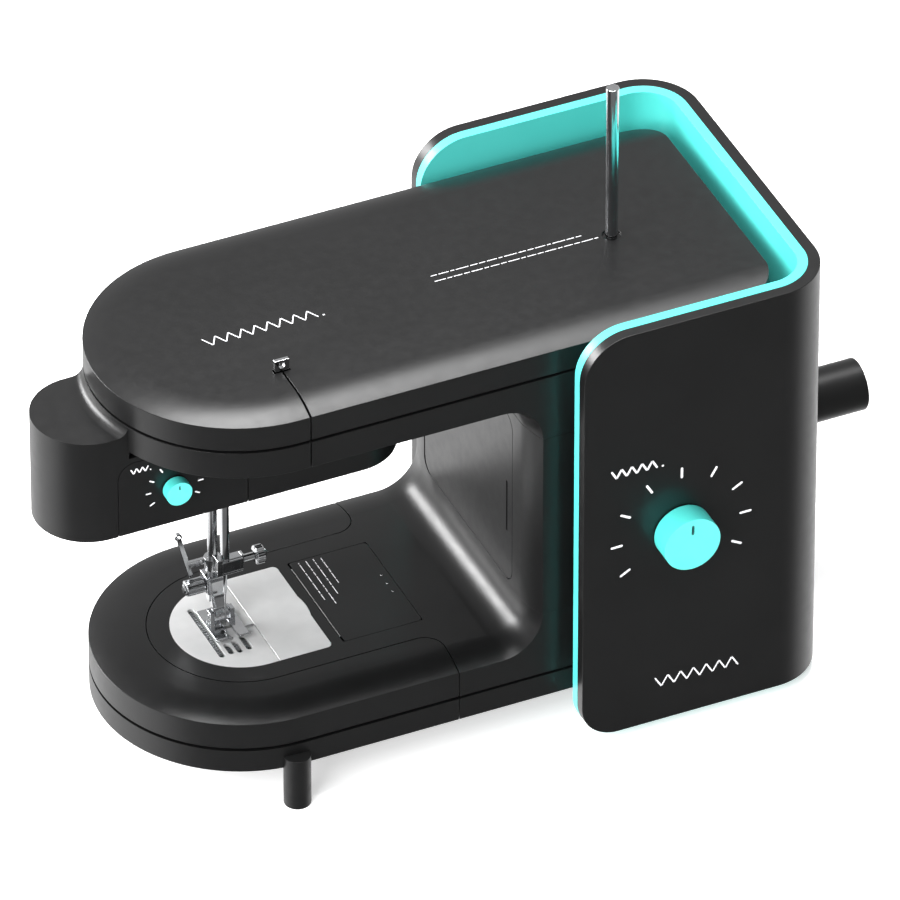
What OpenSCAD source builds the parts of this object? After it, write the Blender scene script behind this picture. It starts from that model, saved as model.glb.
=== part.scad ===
// Compact domestic sewing machine with a wrap-around shell, in millimetres.
// Working frame: the origin is on the bed top at the centre of the needle plate, +X runs towards the
// handwheel and +Y to the back. seat() then moves every node so that the machine stands on Z = 0 and
// its overall box is centred on X = 0 and Y = 0.

/* [Body] */
// Half depth of the arm, the bed and the column
bed_r = 76.5; // [74:0.5:78]
// Half depth of the free arm inside the accessory tray
free_r = 47.2; // [46:0.2:49]
// Height of the throat between the bed and the arm's underside
throat_h = 145; // [140:1:150]
// Left face of the column
column_x = 126.2; // [120:0.2:132]
// Right end of the body inside the shell
body_end_x = 260.5; // [258:0.5:264]
// Radius of the throat's corners
throat_r = 17.6; // [14:0.2:20]
// Wall thickness of the housings
wall = 3; // [2.4:0.2:3.4]

/* [Shell] */
// Left edge of the wrap-around shell
shell_x0 = 137.6; // [136:0.2:140]
// How much further right the front wall of the shell starts
shell_step = 5.4; // [0:0.2:8]
// Outer right face of the shell
shell_x1 = 282; // [280:0.5:286]
// Half depth of the shell
shell_y = 98; // [97:0.5:100]
// Thickness of the black outer wall
shell_t = 6.2; // [5:0.1:7]
// Thickness of the coloured liner
liner_t = 5.3; // [4:0.1:6]

/* [Head] */
// Half depth and end radius of the head
head_r = 28.2; // [27:0.2:30]
// Underside of the head
head_z0 = 98.6; // [96:0.2:102]

/* [Controls] */
// Diameter of the modes knob
modes_d = 30.4; // [26:0.2:34]
// Diameter of the type knob
type_d = 13.6; // [12:0.2:15]
// Diameter of the handwheel
wheel_d = 27.4; // [24:0.2:32]
// Diameter of the spool pin
spool_d = 6.6; // [5:0.1:7]

/* [Hidden] */
$fn = 96;

// Where the working frame's origin lies in the part's own frame
seat_at = [-116, 7, 57];
floor_z = -seat_at[2];

// Levels of the bed, from the top down
bed_joint_z = -19.4;
slab_top_z = -21;
slab_bottom_z = -33.9;
free_bottom_z = -31.2;
joint_inset = 2.2;
cavity_z = -8;
pan_floor = 2;

// Levels of the arm
arm_joint_z = 164.7;
cover_z0 = 166.3;
cover_z1 = 184.6;
cover_roof_z = 181.6;
cover_eave_z = 176;
arm_floor_z = 152;
corner_r = 20;

// Soft edge all round the tops: a wide shallow arc that ends in a crease
edge_band = 20.5;
edge_drop = 4.6;
edge_arc_r = (edge_band * edge_band + edge_drop * edge_drop) / (2 * edge_drop);
edge_lift = 0.08;

// Seam between the fixed bed and the tray
seam_x = 85.5;
flare_r = 11;
tray_gap = 0.4;

// Shell levels and corner radii
shell_z0 = -51.4;
shell_z1 = 194.5;
shell_corner_r = 30;
shell_top_r = 25;
shell_foot_r = 20;
gap_y = shell_y - shell_t - liner_t;

// Head block
head_x0 = -81.3;
head_x1 = 55;
head_z1 = 159;
head_roof_z = 156;
face_x0 = -77;
face_x1 = -7.1;
face_t = 1.6;
face_corner_r = 9.5;
neck_r = 5.7;
face_z1 = 142.2;

// Needle plate and bobbin cover
plate_r = 35.8;
plate_x1 = 34.8;
plate_seam_x = 5.7;
plate_t = 2;
cover_corner_r = 3;
fit_gap = 0.15;

// Compartment in the bed and service door on the column
door_x0 = 40.4;
door_x1 = 84.2;
door_y = 35;
door_t = 1.6;
door_gap = 0.3;
door_corner_r = 2.4;
door_hinge_y = 30;
pocket_floor_z = -15;
panel_y0 = -50;
panel_y1 = 57;
panel_z0 = 19;
panel_z1 = 122.5;
panel_t = 2.4;
panel_corner_r = 8;
panel_ledge = 3;
column_wall = 7;

// Needle, presser bar and hook
needle_x = -8.3;
presser_y = 15.7;
needle_bar_r = 2.375;
presser_bar_r = 2.575;
slide_gap = 0.04;
hook_x = 16.5;
hook_r = 23.4;
bobbin_r = 10.15;

// Shafts, all parallel to X in the plane Y = 0
drive_z = 44;
arm_shaft_z = 160;
hook_shaft_z = -23;
drive_r = 5;
arm_shaft_r = 4;
hook_shaft_r = 3;
crank_r = 15.5;
crank_disc_r = 20;
frame_x = [150, 236];
frame_t = 4;
bracket_x = 30;

// Belt drives: left faces of the belts' tracks, width and thickness
arm_belt_x = 198;
hook_belt_x = 208;
motor_belt_x = 243;
belt_w = 6;
belt_t = 1.4;
belt_gap = 0.3;
tangent_bite = 0.02;
timing_r = 16;
hook_track_r = 12;
hook_pulley_r = 6;
belt_wheel_r = 28;
motor_pulley_r = 7;
motor_y = 45;
motor_z = 90;
motor_r = 21;

// Dials
modes_x = 196.5;
modes_z = 65.7;
modes_h = 13.1;
type_x = -46.7;
type_z = 120.3;
type_h = 6;
knob_gap = 0.6;
sole_z = 0.9;

// Feet
foot_r = 7;
tray_foot_x = -3.2;
tray_foot_top_z = -27;
base_foot_at = [[105, -36], [105, 36], [235, -60], [235, 60]];

spool_at = [200, -6];
spool_z0 = cover_z1 + 0.2;
spool_z1 = 274.6;
spool_neck_r = spool_d / 2 - 0.7;
inlet_at = [25, -8];
switch_at = [-22, -8];

// Moves a node from the working frame to the part's own frame.
module seat() {
  translate(seat_at) children();
}

// Box between two opposite corners.
module block(lo, hi) {
  translate(lo) cube(hi - lo);
}

// A 2-D outline as a solid between two heights.
module slab(z0, z1) {
  translate([0, 0, z0]) linear_extrude(z1 - z0) children();
}

// Cylinder along X from at.
module rod_x(at, r, h) {
  translate(at) rotate([0, 90, 0]) cylinder(r = r, h = h);
}

// Cylinder along Y from at.
module rod_y(at, r, h) {
  translate(at) rotate([-90, 0, 0]) cylinder(r = r, h = h);
}

// Cylinder along Z from at.
module rod_z(at, r, h) {
  translate(at) cylinder(r = r, h = h);
}

// Outline with round ends between two circle centres on the X axis.
module bar_plan(r, x0, x1) {
  translate([x0, 0]) circle(r);
  translate([x1, 0]) circle(r);
  translate([x0, -r]) square([x1 - x0, 2 * r]);
}

// Plan of the whole body: round at the left, rounded corners at the right.
module body_plan(inset = 0) {
  r = bed_r - inset;
  end = body_end_x - inset;
  corner = max(corner_r - inset, 2);
  circle(r);
  translate([0, -r]) square([end - corner, 2 * r]);
  translate([0, corner - r]) square([end, 2 * (r - corner)]);
  for (s = [-1, 1]) translate([end - corner, s * (r - corner)]) circle(corner);
}

// The body's plan to the right of x.
module body_plan_from(x, inset = 0) {
  intersection() {
    body_plan(inset);
    translate([x, -100]) square([300, 200]);
  }
}

// Plan of the fixed bed: the free arm, flared out to full width at the seam.
module fixed_plan(grow = 0) {
  r = free_r + grow;
  circle(r);
  translate([0, -r]) square([seam_x + flare_r, 2 * r]);
  body_plan_from(seam_x - grow, max(-grow, 0));
  for (s = [0, 1]) mirror([0, s]) difference() {
    translate([seam_x - flare_r, free_r - 1]) square([flare_r, flare_r + 1]);
    translate([seam_x - flare_r, free_r + flare_r]) circle(flare_r - grow);
  }
}

// Plan of the accessory tray, which wraps round the free arm.
module tray_plan(inset = 0) {
  difference() {
    intersection() {
      body_plan(inset);
      translate([-100, -100]) square([100 + seam_x - tray_gap - inset, 200]);
    }
    fixed_plan(tray_gap + inset);
  }
}

// Section of the material that the soft edge takes off: X is the distance from the middle.
module edge_section() {
  difference() {
    translate([bed_r - edge_band, -edge_drop - 1]) square([edge_band + 2, edge_drop + 2]);
    translate([bed_r - edge_band, edge_lift - edge_arc_r]) circle(edge_arc_r, $fn = 180);
  }
}

// Soft edge along both long sides from x0 to x1, below the level z.
module long_edge_cut(x0, x1, z) {
  for (s = [0, 1]) mirror([0, s, 0])
    translate([x0, 0, z]) rotate([90, 0, 90]) linear_extrude(x1 - x0) edge_section();
}

// Soft edge round the left end, below the level z.
module end_edge_cut(z) {
  translate([0, 0, z]) rotate([0, 0, 90]) rotate_extrude(angle = 180) edge_section();
}

// Soft edge carried round the lower corner of the throat.
module corner_edge_cut() {
  for (s = [0, 1]) mirror([0, s, 0])
    translate([column_x - throat_r, 0, throat_r]) rotate([-90, 0, 0])
      rotate_extrude(angle = 90) translate([throat_r, 0]) rotate(90) edge_section();
}

// Soft edge up both sides of the column's left face.
module column_edge_cut(z0, z1) {
  for (s = [0, 1]) mirror([0, s, 0])
    translate([column_x, 0, z0]) rotate([0, 0, 90]) linear_extrude(z1 - z0) edge_section();
}

// The hollow that rounds the lower corner of the throat.
module corner_hollow() {
  rod_y([column_x - throat_r, -bed_r - 2, throat_r], throat_r + 0.05, 2 * bed_r + 4);
}

// Turns a shape of the bed upside down, onto the arm's underside.
module as_arm() {
  translate([0, 0, throat_h]) mirror([0, 0, 1]) children();
}

// Bed: the free arm and the wide bed in one, with the lower corner of the throat.
module bed_housing() {
  color("#2b2b2d") seat() difference() {
    union() {
      slab(bed_joint_z, 0) fixed_plan();
      slab(-1, throat_r) body_plan_from(column_x - throat_r);
    }
    corner_hollow();
    long_edge_cut(seam_x - 1, column_x - throat_r, 0);
    corner_edge_cut();
    slab(bed_joint_z - 1, cavity_z) difference() {
      fixed_plan(-wall);
      translate([door_x0 - 1, -door_y - 1]) square([door_x1 - door_x0 + 3, 2 * door_y + 2]);
    }
    slab(cavity_z - 1, -wall) bar_plan(free_r - wall, 0, -2);
    slab(cavity_z - 1, -wall) bar_plan(hook_r + 0.8, 0, hook_x);
    rod_z([hook_x, 0, bed_joint_z - 1], hook_r + 0.8, -wall - bed_joint_z + 1);
    slab(cavity_z - 1, throat_r + 1) body_plan_from(column_x + column_wall, wall);
    slab(bed_joint_z - 1, pocket_floor_z - 1.6)
      translate([door_x0 - 2, -door_y - 2]) square([door_x1 - door_x0 + 5, 2 * door_y + 4]);
    slab(pocket_floor_z, 1) door_plan(2.4, 1);
    slab(-door_t, 1) door_plan(0, 1);
    slab(-plate_t, 1) plate_outline();
    rod_z([hook_x, 0, -wall - 1], bobbin_r + 1.6, wall + 2);
    block([-22.5, -21.5, -wall - 1], [1.5, 21.5, 1]);
  }
}

// Rectangle from corner lo to corner hi with round corners.
module round_rect(lo, hi, r) {
  translate([lo[0] + r, lo[1]]) square([hi[0] - lo[0] - 2 * r, hi[1] - lo[1]]);
  translate([lo[0], lo[1] + r]) square([hi[0] - lo[0], hi[1] - lo[1] - 2 * r]);
  for (x = [lo[0] + r, hi[0] - r]) for (y = [lo[1] + r, hi[1] - r]) translate([x, y]) circle(r);
}

// Outline of the compartment's opening, set in by inset, with corners of radius r.
module door_plan(inset, r) {
  round_rect([door_x0 + inset, -door_y + inset], [door_x1 - inset, door_y - inset], r);
}

// D-shaped outline that the needle plate and the bobbin cover fill together.
module plate_outline() {
  circle(plate_r);
  translate([0, -plate_r]) square([plate_x1 - cover_corner_r, 2 * plate_r]);
  translate([0, cover_corner_r - plate_r]) square([plate_x1, 2 * (plate_r - cover_corner_r)]);
  for (s = [-1, 1])
    translate([plate_x1 - cover_corner_r, s * (plate_r - cover_corner_r)]) circle(cover_corner_r);
}

// Lower shell of the fixed bed, with a lip that holds it below the groove.
module base_pan() {
  color("#232325") seat() difference() {
    union() {
      slab(slab_bottom_z, slab_top_z) body_plan_from(seam_x);
      slab(free_bottom_z, slab_top_z) fixed_plan();
      slab(slab_top_z, bed_joint_z) fixed_plan(-joint_inset);
    }
    slab(free_bottom_z + pan_floor, bed_joint_z + 1) fixed_plan(-joint_inset - wall);
    slab(slab_bottom_z + pan_floor, free_bottom_z + pan_floor + 0.1)
      body_plan_from(seam_x + 6, joint_inset + wall);
    for (p = base_foot_at) rod_z([p[0], p[1], slab_bottom_z - 1], 2.1, 4);
  }
}

// Column walls, with the opening of the service door.
module column_housing() {
  color("#2b2b2d") seat() difference() {
    slab(throat_r, throat_h - throat_r) body_plan_from(column_x);
    column_edge_cut(throat_r - 1, throat_h);
    slab(0, throat_h) body_plan_from(column_x + column_wall, wall);
    panel_cut(0, panel_t + 0.3);
    panel_cut(panel_ledge, column_wall + 1);
    rod_x([body_end_x - wall - 1, 0, drive_z], drive_r + 1, wall + 2);
    for (s = [-1, 1]) for (z = [45, 110]) for (x = [170, 225])
      rod_y([x, s * bed_r - 5, z], 2.1, 10);
  }
}

// Hole of the service door, set in by inset and depth deep.
module panel_cut(inset, depth) {
  translate([column_x - 1, 0, 0]) rotate([90, 0, 90]) linear_extrude(depth + 1)
    round_rect([panel_y0 + inset, panel_z0 + inset], [panel_y1 - inset, panel_z1 - inset], panel_corner_r);
}

// Outer solid of the arm below the groove.
module arm_block() {
  difference() {
    union() {
      slab(throat_h, arm_joint_z) body_plan();
      slab(throat_h - throat_r, throat_h + 1) body_plan_from(column_x - throat_r);
    }
    as_arm() corner_hollow();
    as_arm() long_edge_cut(-0.1, column_x - throat_r, 0);
    as_arm() end_edge_cut(0);
    as_arm() corner_edge_cut();
  }
}

// Arm below the groove: the floor of the arm and the upper corner of the throat.
module arm_housing() {
  color("#242426") seat() difference() {
    arm_block();
    slab(arm_floor_z, arm_joint_z + 1) body_plan(wall);
    slab(throat_h - throat_r - 1, arm_floor_z + 1) body_plan_from(column_x + column_wall, wall);
    slab(throat_h - 1, arm_floor_z + 1) bar_plan(24.8, -52, 46);
    block([plate_seam_x - 0.5, -bed_r - 1, throat_h - 1],
          [plate_seam_x + 0.5, -bed_r + 1.2, arm_joint_z + 1]);
  }
}

// Arm cover above the groove, with the thread slit and the spool pin's seat.
module arm_cover() {
  color("#3a3a3d") seat() difference() {
    union() {
      slab(cover_z0, cover_z1) body_plan();
      slab(arm_joint_z, cover_z0) body_plan(joint_inset);
    }
    long_edge_cut(-0.1, body_end_x + 1, cover_z1);
    end_edge_cut(cover_z1);
    slab(arm_joint_z - 1, cover_eave_z) body_plan(joint_inset + 2.4);
    slab(cover_eave_z - 1, cover_roof_z) body_plan(edge_band + 2);
    block([plate_seam_x - 0.5, -bed_r - 1, cover_z0 - 2], [plate_seam_x + 0.5, -bed_r + 1.2, cover_z1]);
    block([plate_seam_x - 0.5, -bed_r - 1, cover_z1 - 6.4], [plate_seam_x + 0.5, -41, cover_z1 + 1]);
    block([plate_seam_x - 4.4, -42.2, cover_eave_z - 1], [plate_seam_x + 4.4, -38.8, cover_z1 + 1]);
    rod_z([spool_at[0], spool_at[1], cover_roof_z - 1], spool_neck_r, 5);
    rod_z([spool_at[0], spool_at[1], cover_z1 - 1.2], spool_d / 2 + 1.6, 2);
  }
}

// Head block under the arm, open at the top to the arm's inside.
module head_housing() {
  color("#28282a") seat() difference() {
    union() {
      slab(head_z0, head_z1) bar_plan(head_r, head_x0, head_x1);
      head_neck();
    }
    arm_block();
    slab(throat_h, head_z1 + 1) bar_plan(bed_r - 0.4, 0, 80);
    slab(head_z0 + wall, head_roof_z) bar_plan(head_r - wall, head_x0, head_x1);
    rod_z([needle_x, 0, head_z0 - 1], needle_bar_r + slide_gap, wall + 2);
    rod_z([needle_x, presser_y, head_z0 - 1], presser_bar_r + slide_gap, wall + 2);
    face_slab(face_t + 1) face_outline(0, head_z0 - 1);
    rod_y([type_x, -head_r - 1, type_z], 2.1, wall + 2);
    block([-6.2, 22, head_z0 - 1], [0.8, 30, 115]);
    rod_z([24, 0, head_z0 - 1], 7, wall + 2);
  }
}

// Hollow curve that carries the head's top up to the arm round its left end.
module head_neck() {
  intersection() {
    slab(head_z1 - 1, arm_joint_z) bar_plan(head_r, head_x0, 0);
    rotate([0, 0, 90]) rotate_extrude(angle = 180) difference() {
      translate([bed_r - 1, head_z1 - 1]) square([neck_r + 1, neck_r + 1]);
      translate([bed_r + neck_r, head_z1 + neck_r]) circle(neck_r);
    }
  }
}

// Outline of the front plate from z0 up, set in by gap, with one round corner.
module face_outline(gap, z0) {
  x0 = face_x0 + gap;
  x1 = face_x1 - gap;
  z1 = face_z1 - gap;
  translate([x0, z0]) square([x1 - x0, z1 - face_corner_r - z0]);
  translate([x0 + face_corner_r, z0]) square([x1 - x0 - face_corner_r, z1 - z0]);
  translate([x0 + face_corner_r, z1 - face_corner_r]) circle(face_corner_r);
}

// Stands an outline up as the front of the head, t thick.
module face_slab(t) {
  translate([0, -head_r + face_t, 0]) rotate([90, 0, 0]) linear_extrude(t) children();
}

// Thin front plate of the head, which carries the type dial.
module face_plate() {
  color("#29292b") seat() difference() {
    face_slab(face_t) face_outline(door_gap, head_z0);
    rod_y([type_x, -head_r - 1, type_z], 2.1, wall + 2);
  }
}

// Plan of the shell at a given depth inside its outer face, open at the left.
module shell_plan(inset) {
  x1 = shell_x1 - inset;
  y = shell_y - inset;
  r = shell_corner_r - inset;
  translate([0, -y]) square([x1 - r, 2 * y]);
  translate([0, r - y]) square([x1, 2 * (y - r)]);
  for (s = [-1, 1]) translate([x1 - r, s * (y - r)]) circle(r);
}

// Side view of the shell from its left edge x0, with its left corners rounded.
module shell_side(x0) {
  translate([x0 + shell_top_r, shell_z1 - shell_top_r]) circle(shell_top_r);
  translate([x0 + shell_foot_r, shell_z0 + shell_foot_r]) circle(shell_foot_r);
  translate([x0, shell_z0 + shell_foot_r])
    square([shell_top_r, shell_z1 - shell_z0 - shell_top_r - shell_foot_r]);
  translate([x0 + shell_foot_r, shell_z0]) square([180, shell_z1 - shell_z0 - shell_top_r]);
  translate([x0 + shell_top_r, shell_z0]) square([180, shell_z1 - shell_z0]);
}

// One wall of the shell between two depths.
module shell_wall(from, to) {
  difference() {
    intersection() {
      slab(shell_z0 - 1, shell_z1 + 1) difference() {
        shell_plan(from);
        shell_plan(to);
      }
      union() {
        translate([0, shell_y / 2, 0]) rotate([90, 0, 0]) linear_extrude(2 * shell_y)
          shell_side(shell_x0 + shell_step);
        translate([0, shell_y * 1.5, 0]) rotate([90, 0, 0]) linear_extrude(2 * shell_y)
          shell_side(shell_x0);
      }
    }
    rod_x([shell_x1 - 20, 0, drive_z], drive_r + 1, 30);
    block([shell_x1 - 20, inlet_at[0] - 14, inlet_at[1] - 10],
          [shell_x1 + 1, inlet_at[0] + 14, inlet_at[1] + 10]);
    block([shell_x1 - 20, switch_at[0] - 8, switch_at[1] - 11],
          [shell_x1 + 1, switch_at[0] + 8, switch_at[1] + 11]);
  }
}

// Black outer wall of the shell.
module outer_shell() {
  color("#252527") seat() difference() {
    shell_wall(0, shell_t);
    rod_y([modes_x, -shell_y - 1, modes_z], 3.3, shell_t + 2);
  }
}

// Coloured liner of the shell.
module shell_liner() {
  color("#48e0d0") seat() difference() {
    shell_wall(shell_t, shell_t + liner_t);
    rod_y([modes_x, -shell_y, modes_z], 3.3, 20);
    for (s = [-1, 1]) for (z = [45, 110]) for (x = [170, 225])
      rod_y([x, s * gap_y - 3, z], 2.1, 6);
  }
}

// Eight posts with screws that hold the shell to the column.
module shell_spacers() {
  color("#9a9a9a") seat() for (s = [0, 1]) mirror([0, s, 0]) for (z = [45, 110]) for (x = [170, 225]) {
    rod_y([x, bed_r, z], 6, gap_y - bed_r);
    rod_y([x, bed_r - wall - 2, z], 2, gap_y - bed_r + wall + 5);
    rod_y([x, bed_r - wall - 3.5, z], 3.6, 2.5);
  }
}

// Accessory tray: the trough below the groove, with a thin floor under the free arm.
module tray_base() {
  color("#232325") seat() difference() {
    union() {
      slab(slab_bottom_z, slab_top_z) tray_plan();
      slab(slab_bottom_z, slab_bottom_z + 2) intersection() {
        body_plan();
        translate([-100, -100]) square([100 + seam_x - tray_gap, 200]);
      }
    }
    slab(slab_bottom_z + 2.6, slab_top_z + 1) tray_plan(2.6);
    for (s = [-1, 1]) rod_z([tray_foot_x, s * bed_r, floor_z], foot_r + 0.02, tray_foot_top_z - floor_z);
  }
}

// Lid of the accessory tray, flush with the bed.
module tray_lid() {
  color("#323235") seat() difference() {
    union() {
      slab(bed_joint_z, 0) tray_plan();
      slab(slab_top_z, bed_joint_z) tray_plan(2);
    }
    long_edge_cut(-0.1, seam_x + 1, 0);
    end_edge_cut(0);
    slab(slab_top_z - 1, cavity_z) tray_plan(4.4);
  }
}

// Two feet let into the front and back edges of the tray.
module tray_feet() {
  color("#1d1d1f") seat() for (s = [-1, 1])
    rod_z([tray_foot_x, s * bed_r, floor_z], foot_r, tray_foot_top_z - floor_z);
}

// Four feet under the fixed bed and the column.
module base_feet() {
  color("#1d1d1f") seat() for (p = base_foot_at) {
    rod_z([p[0], p[1], floor_z], foot_r, slab_bottom_z - floor_z);
    rod_z([p[0], p[1], slab_bottom_z], 2, pan_floor);
  }
}

// Needle plate with the needle hole and the feed dog's slots.
module needle_plate() {
  color("#d9d9d9") seat() difference() {
    slab(-plate_t, 0) intersection() {
      plate_outline();
      translate([-50, -50]) square([50 + plate_seam_x - fit_gap, 100]);
    }
    slab(-plate_t - 1, 1) for (row = feed_rows) slot_plan(row[0], row[1] - 1, row[2] + 1, 1.6);
    slab(-plate_t - 1, 1) translate([needle_x, 0]) rotate(90) slot_plan(0, -3, 3, 1.1);
  }
}

// Rows of the feed dog: [x, y from, y to].
feed_rows = [[-19, -19, 18.4], [-13.7, -18.4, -14.6], [-9.2, -19, -14], [-4, -18.6, -11]];

// Slot with round ends along Y.
module slot_plan(x, y0, y1, r) {
  translate([x, y0]) circle(r);
  translate([x, y1]) circle(r);
  translate([x - r, y0]) square([2 * r, y1 - y0]);
}

// Cover over the bobbin, to the right of the needle plate.
module bobbin_cover() {
  color("#dcdcdc") seat() slab(-plate_t, 0) intersection() {
    plate_outline();
    translate([plate_seam_x + fit_gap, -50]) square([50, 100]);
  }
}

// Lid of the compartment in the bed, with three grip dots at its free edge.
module compartment_door() {
  color("#303033") seat() {
    slab(-door_t, 0) intersection() {
      door_plan(door_gap, door_corner_r);
      translate([door_x0 + door_gap + door_t / 2, -door_y]) square([door_x1, 2 * door_y]);
    }
    rod_y([door_x0 + door_gap + door_t / 2, -door_hinge_y, -door_t / 2], door_t / 2, 2 * door_hinge_y);
    for (y = [-7.3, 0, 7.3]) rod_z([door_x1 - 4, y, 0], 0.6, 0.4);
  }
}

// Service door on the column's left face, with a finger slot at its front edge.
module column_door() {
  y1 = panel_y1 - door_gap - panel_t / 2;
  z0 = panel_z0 + door_gap;
  z1 = panel_z1 - door_gap;
  color("#303033") seat() difference() {
    union() {
      translate([column_x, 0, 0]) rotate([90, 0, 90]) linear_extrude(panel_t)
        round_rect([panel_y0 + door_gap, z0], [y1, z1], panel_corner_r);
      rod_z([column_x + panel_t / 2, y1, z0 + panel_corner_r], panel_t / 2, z1 - z0 - 2 * panel_corner_r);
    }
    block([column_x - 1, -44, 49], [column_x + panel_t + 1, -42.6, 80]);
  }
}

// Steel frame in the column that carries the shafts and the motor.
module column_frame() {
  color("#8f9296") seat() difference() {
    union() {
      for (x = frame_x) block([x, -34, slab_bottom_z + pan_floor], [x + frame_t, 68, 172]);
      block([frame_x[0], -34, -18], [frame_x[1], 68, -15]);
    }
    for (x = frame_x) {
      rod_x([x - 1, 0, arm_shaft_z], 7, frame_t + 2);
      rod_x([x - 1, 0, drive_z], 8, frame_t + 2);
      rod_x([x - 1, 0, hook_shaft_z], 5, frame_t + 2);
    }
    rod_x([frame_x[1] - 1, motor_y, motor_z], 6, frame_t + 2);
    block([hook_belt_x - 2, -20, -19], [hook_belt_x + belt_w + 2, 20, -14]);
  }
}

// Bracket on the arm's floor that carries the arm shaft behind the crank.
module arm_bracket() {
  color("#8f9296") seat() difference() {
    union() {
      block([bracket_x, -26, arm_floor_z], [bracket_x + 6, 26, 172]);
      for (y = [-44, 26]) block([bracket_x - 6, y, arm_floor_z], [bracket_x + 12, y + 18, arm_floor_z + 3]);
    }
    rod_x([bracket_x - 1, 0, arm_shaft_z], 7, 8);
  }
}

// One bush: a brass ring along X.
module bush(x, z, outer, bore, length) {
  difference() {
    rod_x([x, 0, z], outer, length);
    rod_x([x - 1, 0, z], bore + slide_gap, length + 2);
  }
}

// Brass bushes of the three shafts and of the hook.
module shaft_bushes() {
  color("#c9a552") seat() {
    for (x = frame_x) {
      bush(x, arm_shaft_z, 7, arm_shaft_r, frame_t);
      bush(x, drive_z, 8, drive_r, frame_t);
      bush(x, hook_shaft_z, 5, hook_shaft_r, frame_t);
    }
    bush(bracket_x, arm_shaft_z, 7, arm_shaft_r, 6);
  }
}

// Shaft of the handwheel.
module drive_shaft() {
  color("#b8bcc0") seat() rod_x([146, 0, drive_z], drive_r, 184);
}

// Plain cylindrical handwheel on the right end of the drive shaft.
module handwheel() {
  color("#1e1e20") seat() difference() {
    rod_x([shell_x1 + 1.5, 0, drive_z], wheel_d / 2, 57.8);
    rod_x([shell_x1, 0, drive_z], drive_r, 48);
  }
}

// Grooved wheel along X: a rim between two thin flanges, bored for its shaft.
module belt_pulley(x, z, r, bore) {
  difference() {
    union() {
      rod_x([x - 1.2, 0, z], r + 1.4, 1.2);
      rod_x([x, 0, z], r, belt_w);
      rod_x([x + belt_w, 0, z], r + 1.4, 1.2);
    }
    rod_x([x - 3, 0, z], bore, belt_w + 6);
  }
}

// Large wheel on the drive shaft that the motor's belt turns.
module belt_wheel() {
  color("#3c3f44") seat() belt_pulley(motor_belt_x, drive_z, belt_wheel_r, drive_r);
}

// Double timing wheel on the drive shaft, for the arm shaft and the hook shaft.
module timing_wheel() {
  color("#3c3f44") seat() {
    belt_pulley(arm_belt_x, drive_z, timing_r, drive_r);
    belt_pulley(hook_belt_x, drive_z, hook_track_r, drive_r);
  }
}

// Main shaft in the arm.
module arm_shaft() {
  color("#b8bcc0") seat() rod_x([8, 0, arm_shaft_z], arm_shaft_r, 238);
}

// Timing pulley of the arm shaft.
module arm_pulley() {
  color("#3c3f44") seat() belt_pulley(arm_belt_x, arm_shaft_z, timing_r, arm_shaft_r);
}

// Crank disc at the left end of the arm shaft, with its crank pin at mid stroke.
module crank() {
  color("#9ca0a5") seat() difference() {
    union() {
      rod_x([9, 0, arm_shaft_z], crank_disc_r, 6);
      rod_x([15, 0, arm_shaft_z], 8, 9);
      rod_x([5, crank_r, arm_shaft_z], 2.5, 5);
    }
    rod_x([7, 0, arm_shaft_z], arm_shaft_r, 20);
  }
}

// Rod that drives the needle bar; its upper eye stops short of the crank pin.
module connecting_rod() {
  color("#a9adb2") seat() difference() {
    union() {
      rod_x([-1.5, 0, 126], 4.2, 5);
      rod_x([-1.5, 0, arm_shaft_z], 4.6, 5);
      block([-0.5, -2.6, 126], [2.5, 2.6, arm_shaft_z]);
    }
    rod_x([-3, 0, 126], 2, 8);
    rod_x([-3, 0, arm_shaft_z], 2.5, 8);
  }
}

// Needle bar.
module needle_bar() {
  color("#c8ccd0") seat() rod_z([needle_x, 0, 36], needle_bar_r, 129);
}

// Clamp on the needle bar with the stud of the connecting rod.
module needle_bar_clamp() {
  color("#9ca0a5") seat() difference() {
    union() {
      block([-13.3, -5, 122], [-1.8, 5, 130]);
      rod_x([-2, 0, 126], 2, 6);
    }
    rod_z([needle_x, 0, 121], needle_bar_r, 10);
  }
}

// Upper guide of the needle bar and the presser bar.
module bar_guide() {
  color("#8f9296") seat() difference() {
    union() {
      block([-15, -24.6, 146.4], [-2.4, 24.6, 151.6]);
      for (s = [-1, 1]) block([-15, s * 29.8 - 5.2, arm_floor_z], [-2.4, s * 29.8 + 5.2, arm_floor_z + 3]);
      for (s = [-1, 1]) block([-15, s * 23.1 - 1.5, 146.4], [-2.4, s * 23.1 + 1.5, arm_floor_z + 3]);
      for (s = [-1, 1]) block([-15, s * 24.6 - 1.5, arm_floor_z], [-2.4, s * 24.6 + 1.5, arm_floor_z + 3]);
    }
    rod_z([needle_x, 0, 145], needle_bar_r + slide_gap, 8);
    rod_z([needle_x, presser_y, 145], presser_bar_r + slide_gap, 8);
  }
}

// Block at the lower end of the needle bar that grips the needle.
module needle_clamp() {
  color("#d4d6d8") seat() difference() {
    union() {
      block([-13.4, -3.6, 35], [-1.2, 3.6, 45]);
      block([-3, -2.6, 37], [1.4, 2.6, 44]);
    }
    rod_z([needle_x, 0, 36], needle_bar_r, 20);
    rod_z([needle_x, 0, 30], 1, 10);
    rod_x([-5.9, 0, 40.6], 1.3, 10);
  }
}

// Thumb screw of the needle clamp.
module needle_clamp_screw() {
  color("#c4c6c8") seat() {
    rod_x([-5.7, 0, 40.6], 1.3, 15);
    rod_x([1.4, 0, 40.6], 1.9, 6.4);
    rod_x([7.8, 0, 40.6], 5, 4.6);
    rod_x([12.4, 0, 40.6], 2.4, 1.4);
  }
}

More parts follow.
